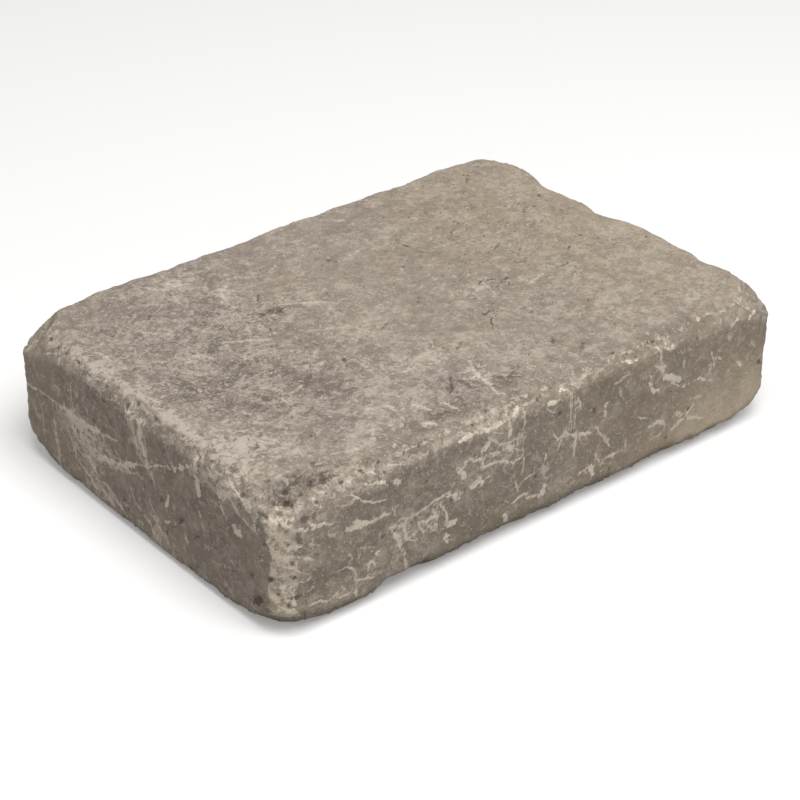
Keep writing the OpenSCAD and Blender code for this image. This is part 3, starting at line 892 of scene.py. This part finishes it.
def flecked(g, skin):
    """Fluffy flecks of dust, and the dirtier skin between them."""
    wool = g.noise(g.warped, 5.6, 5.0, 0.62)
    fleck = g.step(g.times_plus(g.dense, 0.20, wool), 0.60, 0.74)
    skin = g.mix(g.times(fleck, g.times_plus(g.even, -0.30, 0.56)), skin, DUST)
    gap = g.step(g.times_plus(g.even, 0.04, g.fluff), 0.44, 0.29)
    gap = g.times(gap, g.times_plus(g.even, -0.25, 0.50))
    skin = g.mix(gap, skin, SKIN_DIRTY)
    soot = g.times(g.dark, g.step(g.cloudy, 0.70, 0.36))
    return g.mix(g.times(soot, 0.75, clamp=True), skin, SKIN_DIRTY)


def dusted(g, skin):
    """Dust rubbed on in patches with ragged edges."""
    cloud = g.math("MINIMUM", g.times(g.patch["pale"], 0.80), 0.62)
    cloud = g.step(g.stirred(cloud, g.fluff, 4.4), 0.34, 0.66)
    cloud = g.times(cloud, g.times_plus(g.upward, -0.12, 0.92))
    return g.mix(cloud, skin, DUST)


def scuffed(g, skin):
    """Thin scuffs that wander and break off: the ridges of warped noises, where it is dense."""
    for size, thick, share in RIDGES:
        ridge = g.noise(g.warped, size, 2.5, 0.55)
        ridge = g.math("ABSOLUTE", g.times_plus(ridge, 2.0, -1.0))
        width = g.times(g.step(g.dense, 0.48, 0.85), thick)
        width = g.times_plus(g.torn, 0.55, width)
        line = g.step(g.math("SUBTRACT", width, ridge), -0.03, 0.04)
        line = g.times(line, g.step(g.dense, 0.48, 0.66))
        skin = g.mix(g.times(line, share), skin, DUST)
    return skin


def scratched(g, skin):
    """Short scratches in several directions, each in its own stretches of the surface."""
    for turn, length, width, offset in SCRATCHES:
        place = g.stretched(g.warped, turn, (length, width, width))
        scratch = g.step(g.noise(place, 1.0, 3.0, 0.6), 0.60, 0.67)
        stretch = g.noise(g.vector("ADD", g.place, (offset,) * 3), 26, 2.0)
        stretch = g.times_plus(g.patch["scuff"], 0.12, stretch)
        stretch = g.times_plus(g.even, -0.08, stretch)
        scratch = g.times(scratch, g.step(stretch, 0.44, 0.56))
        skin = g.mix(g.times(scratch, 0.55), skin, DUST)
    return skin


def marked(g, skin):
    """The listed marks: fine scuffs and wider smears, with edges as ragged as the
    fluff."""
    ragged = g.times(g.math("SUBTRACT", g.fluff, 0.5), 4.5)
    ragged = g.times_plus(g.torn, 3.5, ragged)
    line = g.math("ADD", g.inside(g.attribute("scuff_across")), ragged)
    line = g.times(g.step(line, -0.20, 0.30), g.strength)
    smear = g.times_plus(ragged, 1.2, g.attribute("smears"))
    hand = g.math("MAXIMUM", line, g.step(smear, -0.25, 0.40))
    cover = g.step(g.times_plus(g.speckle, 0.6, g.fluff), 0.58, 0.92)
    hand = g.times(hand, g.times_plus(cover, 0.38, 0.62))
    hand = g.times(hand, g.times_plus(g.upward, -0.40, 1.0))
    return g.mix(hand, skin, SCUFF), hand


def bared(g, skin):
    """Worn edges show the paler paste, with dirt left in its lower parts."""
    bare = g.stirred(g.worn, g.fluff, 2.6)
    bare = g.stirred(bare, g.where, 1.4)
    bare = g.step(g.times_plus(g.dark, -0.30, bare), 0.40, 0.62)
    light = g.step(g.times_plus(g.speckle, 0.35, g.fluff), 0.55, 0.82)
    paste = g.mix(light, PASTE_DARK, PASTE_LIGHT)
    chalky = g.math("MINIMUM", g.patch["chalk"], 0.8)
    chalky = g.step(g.stirred(chalky, g.fluff, 3.6), 0.25, 0.85)
    paste = g.mix(g.times(chalky, 0.85), paste, CHALK)
    soil = g.times_plus(g.torn, 0.3, g.noise(g.warped, 5.2, 5.0, 0.66))
    soil = g.step(g.times_plus(g.dark, -0.06, soil), 0.50, 0.38)
    paste = g.mix(g.times(soil, 0.52), paste, SKIN_DIRTY)
    return g.mix(g.times(bare, 0.86), skin, paste), bare


def pored(g, skin):
    """Open pores, most of them in the paste and in the patches with specks, painted dark with the shade
    and dirt in them.
    """
    distance, (_, _, pick) = g.cells(g.warped, 4.6)
    pore = g.step(g.times_plus(g.torn, 0.5, distance), 0.30, 0.12)
    pore = g.times(pore, g.step(g.times_plus(g.dark, 0.20, pick), 0.60, 0.64))
    pitted = g.times_plus(g.patch["specks"], 0.85, 0.06, clamp=True)
    pitted = g.math("MAXIMUM", g.step(g.worn, 0.35, 0.75), pitted)
    pore = g.times(pore, pitted)
    return g.mix(g.times(pore, 0.75), skin, PIT_SHADE_AND_DIRT), pore


def specked(g, skin):
    """Small dark dashes: little dents painted dark with the shade and dirt in them."""
    dash = g.noise(g.stretched(g.warped, DASH_TURN, DASH_SIZE), 1.0, 3.0, 0.6)
    dash = g.stirred(dash, g.noise(g.place, 15, 2.0), -0.20)
    speck = g.step(g.times_plus(g.patch["specks"], -0.07, dash), 0.33, 0.26)
    return g.mix(g.times(speck, 0.74), skin, PIT_SHADE_AND_DIRT), speck


def hollowed(g, skin):
    """Hollows and cracks hold shadow and dirt, and rust has run from a few spots."""
    hole = g.times_plus(g.torn, 4.6, g.attribute("hollows"))
    hole = g.step(g.stirred(hole, g.speckle, 2.2), -0.50, 0.60)
    crack = g.times_plus(g.torn, 3.5, g.inside(g.attribute("crack_across")))
    crack = g.step(g.stirred(crack, g.speckle, 3.0), -0.4, 0.4)
    crack = g.times(crack, g.attribute("crack_strength"))
    broken = g.step(g.noise(g.place, 2.7, 2.0), 0.40, 0.56)
    crack = g.times(crack, g.times_plus(broken, 0.95, 0.15))
    hole = g.math("MAXIMUM", g.times(hole, 0.80), crack)
    skin = g.mix(g.times(hole, 0.82), skin, PIT_SHADE_AND_DIRT)
    return g.mix(g.step(g.patch["rust"], 0.30, 0.75), skin, RUST), hole


def sanded(g, skin):
    """Single grains of light and red sand, and a fine grain over everything."""
    distance, (red, light, _) = g.cells(g.place, 3.1)
    bead = g.step(distance, 0.19, 0.10)
    light_bead = g.times(bead, g.step(light, 0.90, 0.93))
    skin = g.mix(g.times(light_bead, 0.5), skin, SCUFF)
    red_bead = g.times(bead, g.step(red, 0.985, 0.99))
    skin = g.mix(g.times(red_bead, 0.6), skin, RED_SAND)
    shade = g.times_plus(g.grain, 0.36, 0.82)
    shade = g.times(shade, g.times_plus(g.speckle, 0.5, 0.75))
    return g.scaled(skin, shade)


def bumps(g, hand, bare, pore, speck, hole):
    """Relief finer than the mesh, in millimetres."""
    height = g.times(g.fluff, 1.3)
    height = g.times_plus(g.speckle, 0.60, height)
    height = g.times_plus(g.grain, 0.18, height)
    height = g.times(height, g.times_plus(g.even, -0.35, 1.0))
    for layer, rise in ((speck, -0.55), (hole, -0.7), (pore, -0.8), (hand, 0.10)):
        height = g.times_plus(layer, rise, height)
    height = g.times(height, g.times_plus(bare, 0.35, 1.0))
    return g.add("Bump", {"Strength": 0.6, "Distance": MM, "Height": height}).outputs["Normal"]


def make_concrete():
    material = bpy.data.materials.new("concrete")
    g = Concrete(material)
    skin = scratched(g, scuffed(g, dusted(g, flecked(g, cement(g)))))
    skin, hand = marked(g, skin)
    skin, bare = bared(g, skin)
    skin, pore = pored(g, skin)
    skin, speck = specked(g, skin)
    skin, hole = hollowed(g, skin)
    rough = g.times_plus(g.step(g.mottle, 0.35, 0.65), 0.10, 0.82)
    shader = g.add("BsdfPrincipled", {
        "Base Color": sanded(g, skin), "Roughness": g.times_plus(hand, -0.06, rough),
        "Specular IOR Level": 0.28, "Normal": bumps(g, hand, bare, pore, speck, hole)})
    g.add("OutputMaterial", {"Surface": shader.outputs[0]})
    return material


concrete = make_concrete()
block.data.materials.append(concrete)
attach(block, "root")
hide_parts("wall_block")

cad_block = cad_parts["wall_block"]
cad_block.data.materials.clear()
cad_block.data.materials.append(concrete)


# --- Floor, light and camera ---
FLOOR_REACH = 4.0                           # metres from the floor's middle to its sides
FLOOR_LIT = colour(0.36, 0.355, 0.35)       # what it throws back onto the block
FLOOR_SEEN = colour(0.93, 0.93, 0.93)
FLOOR_GLOW = 0.20                           # what it gives off, for the camera only
SKY_LIT = colour(1.0, 0.985, 0.965)
SKY_SEEN = colour(1.0, 1.0, 1.0)
SKY_STRENGTH = 0.36


def make_floor():
    """A plain pale floor. To the camera it is nearly white, and the block gets less light off it."""
    corners = [(-1, -1), (1, -1), (1, 1), (-1, 1)]
    mesh = bpy.data.meshes.new("studio_floor")
    mesh.from_pydata([(x * FLOOR_REACH, y * FLOOR_REACH, 0) for x, y in corners], [], [(0, 1, 2, 3)])
    floor = bpy.data.objects.new("studio_floor", mesh)
    bpy.context.scene.collection.objects.link(floor)
    material = bpy.data.materials.new("studio_floor")
    g = Graph(material)
    seen = g.seen_directly()
    shader = g.add("BsdfDiffuse", {"Color": g.mix(seen, FLOOR_LIT, FLOOR_SEEN)})
    glow = g.add("Emission", {"Strength": g.times(seen, FLOOR_GLOW)})
    both = g.add("AddShader", {0: shader.outputs[0], 1: glow.outputs[0]})
    g.add("OutputMaterial", {"Surface": both.outputs[0]})
    mesh.materials.append(material)


def make_world():
    """Soft light from all sides, and a background that is white to the camera."""
    world = bpy.data.worlds.new("studio")
    bpy.context.scene.world = world
    g = Graph(world)
    soft = g.add("Background", {"Color": SKY_LIT, "Strength": SKY_STRENGTH})
    white = g.add("Background", {"Color": SKY_SEEN, "Strength": 1.0})
    pick = g.add("MixShader", {0: g.seen_directly(), 1: soft.outputs[0], 2: white.outputs[0]})
    g.add("OutputWorld", {"Surface": pick.outputs[0]})


def make_lamp(name, towards, distance, size, power):
    """A square soft box that lights the block from a direction. Distance and size are metres."""
    lamp = bpy.data.lights.new(name, "AREA")
    lamp.shape = "SQUARE"
    lamp.size = size
    lamp.energy = power
    holder = bpy.data.objects.new(name, lamp)
    direction = Vector(towards).normalized()
    holder.location = Vector(MIDDLE * MM) + direction * distance
    holder.rotation_euler = direction.to_track_quat("Z", "Y").to_euler()
    bpy.context.scene.collection.objects.link(holder)


def make_camera(azimuth, elevation, roll, distance, lens, aim):
    """A camera that looks at aim, which is measured from the middle of the block. Angles are in
    degrees, and azimuth 0 looks along +Y."""
    camera = bpy.data.objects.new("camera", bpy.data.cameras.new("camera"))
    bpy.context.scene.collection.objects.link(camera)
    a, e, r = (math.radians(angle) for angle in (azimuth, elevation, roll))
    back = Vector((math.sin(a) * math.cos(e), -math.cos(a) * math.cos(e), math.sin(e)))
    target = Vector((MIDDLE + np.array(aim)) * MM)
    camera.location = target + back * distance * MM
    turn = (-back).to_track_quat("-Z", "Y").to_matrix()
    right, up = turn.col[0].copy(), turn.col[1].copy()
    turn.col[0] = right * math.cos(r) + up * math.sin(r)
    turn.col[1] = up * math.cos(r) - right * math.sin(r)
    camera.rotation_euler = turn.to_euler()
    camera.data.sensor_width = 36
    camera.data.lens = lens
    camera.data.clip_start = 0.01
    bpy.context.scene.camera = camera


make_floor()
make_world()
make_lamp("key", towards=(-0.08, -0.42, 1.0), distance=1.6, size=1.1, power=20.2)
make_camera(azimuth=-39.89, elevation=31.19, roll=0.36, distance=1184, lens=105.57,
            aim=(-23.7, -28.8, 0.2))
bpy.context.scene.view_settings.view_transform = "Standard"
